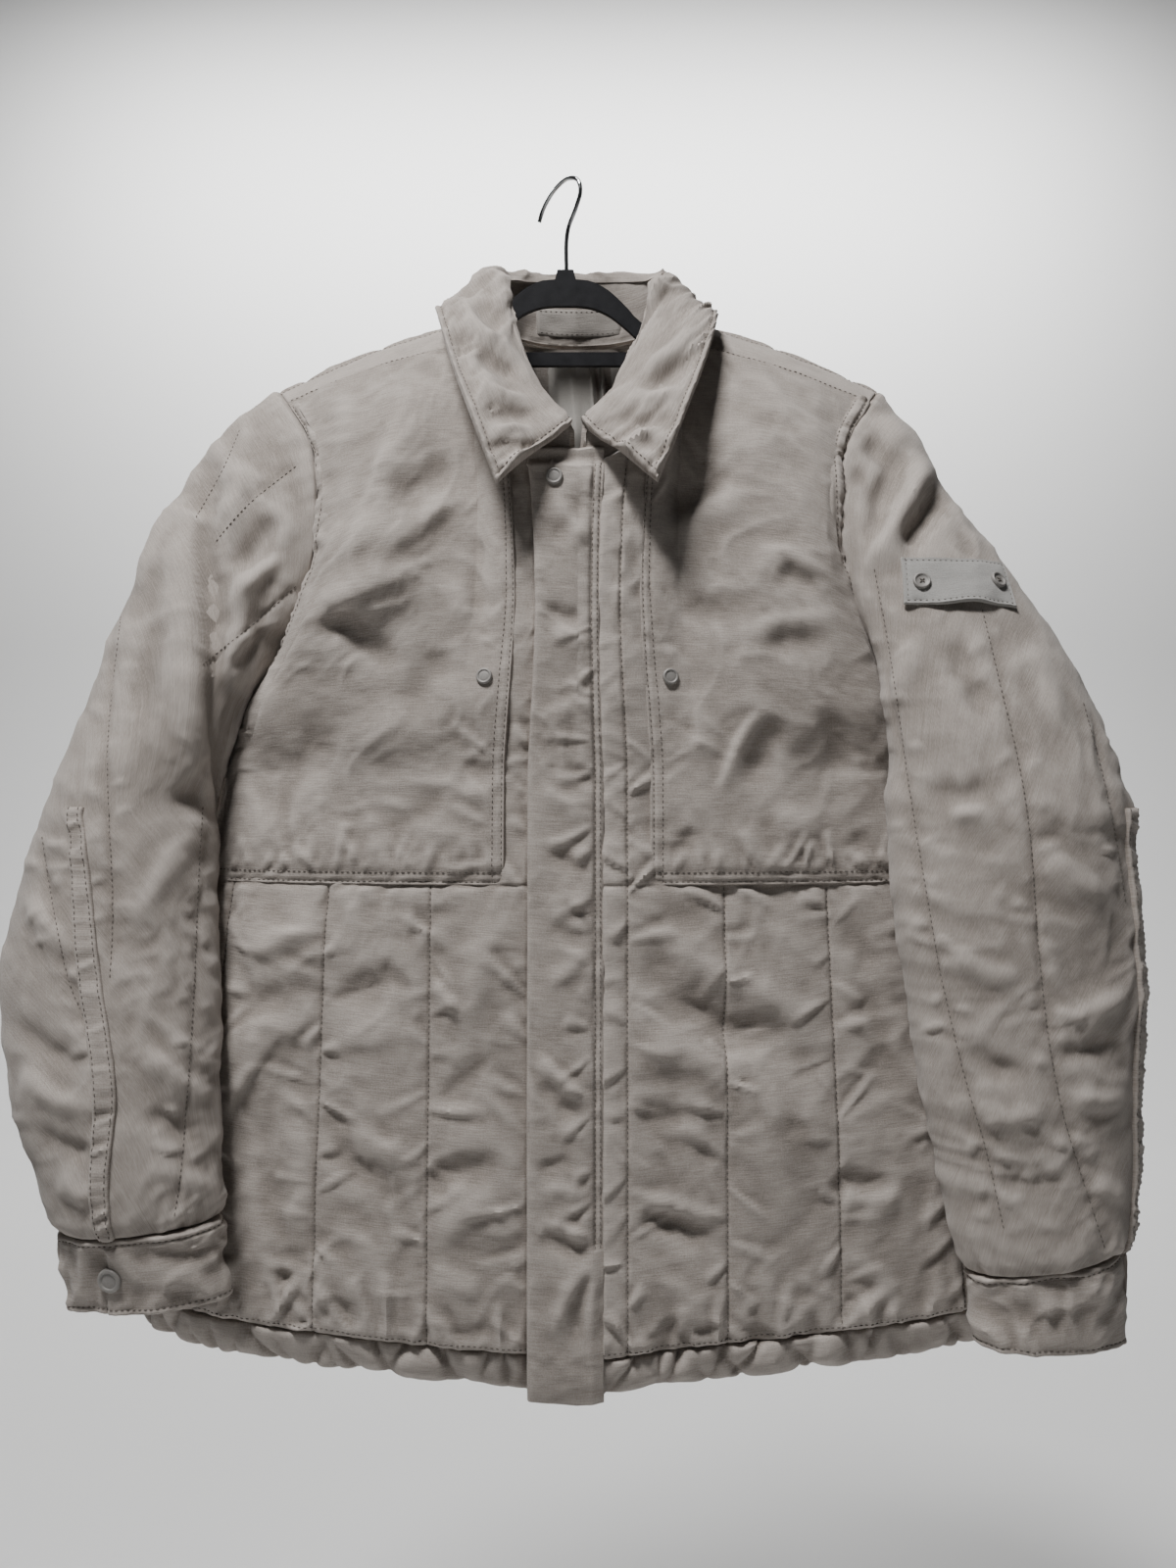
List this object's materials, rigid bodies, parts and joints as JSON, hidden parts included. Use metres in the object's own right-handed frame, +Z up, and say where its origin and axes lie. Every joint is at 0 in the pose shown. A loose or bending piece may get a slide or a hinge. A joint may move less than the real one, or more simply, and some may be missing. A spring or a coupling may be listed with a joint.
{
  "type": "quilted overshirt jacket",
  "caption": "Quilted canvas overshirt with a turned-down collar, a snap fly, flat chest panels and a gathered hem, hanging open-necked on a slim hanger.",
  "frame": {"origin": "underside of the top of the hanger's hook, where a rail or peg carries it", "axes": "+Z up, the jacket's front faces -Y, and +X is the wearer's left"},
  "size_m": [0.7772, 0.2079, 0.9152],
  "materials": {
    "shell": "garment-dyed cotton canvas, matt",
    "lining": "thin woven lining, slight sheen",
    "trim": "close woven tape, matt",
    "snap": "pressed snaps and buttons, satin grey",
    "hanger_plastic": "black moulded plastic, satin",
    "hook_wire": "plated steel wire"
  },
  "bodies": {
    "root": {"front_right": "shell", "front_left": "shell", "chest_panel_right": "shell", "chest_panel_left": "shell", "back": "shell", "shoulder_strip_right": "shell", "shoulder_strip_left": "shell", "fly": "shell", "hem_front_right": "shell", "hem_front_left": "shell", "hem_back": "shell", "sleeve_right_top": "shell", "sleeve_right_under": "shell", "sleeve_left_top": "shell", "sleeve_left_under": "shell", "sleeve_strip_right": "shell", "sleeve_strip_left": "shell", "cuff_right": "shell", "cuff_left": "shell", "collar_stand": "shell", "collar_leaf": "shell", "back_lining": "lining", "neck_label": "trim", "sleeve_tab": "trim", "snap_neck": "snap", "snap_chest_right": "snap", "snap_chest_left": "snap", "snap_cuff_right": "snap", "snap_cuff_left": "snap", "tab_button_inner": "snap", "tab_button_outer": "snap", "hanger": "hanger_plastic", "hanger_hook": "hook_wire"}
  },
  "joints": []
}
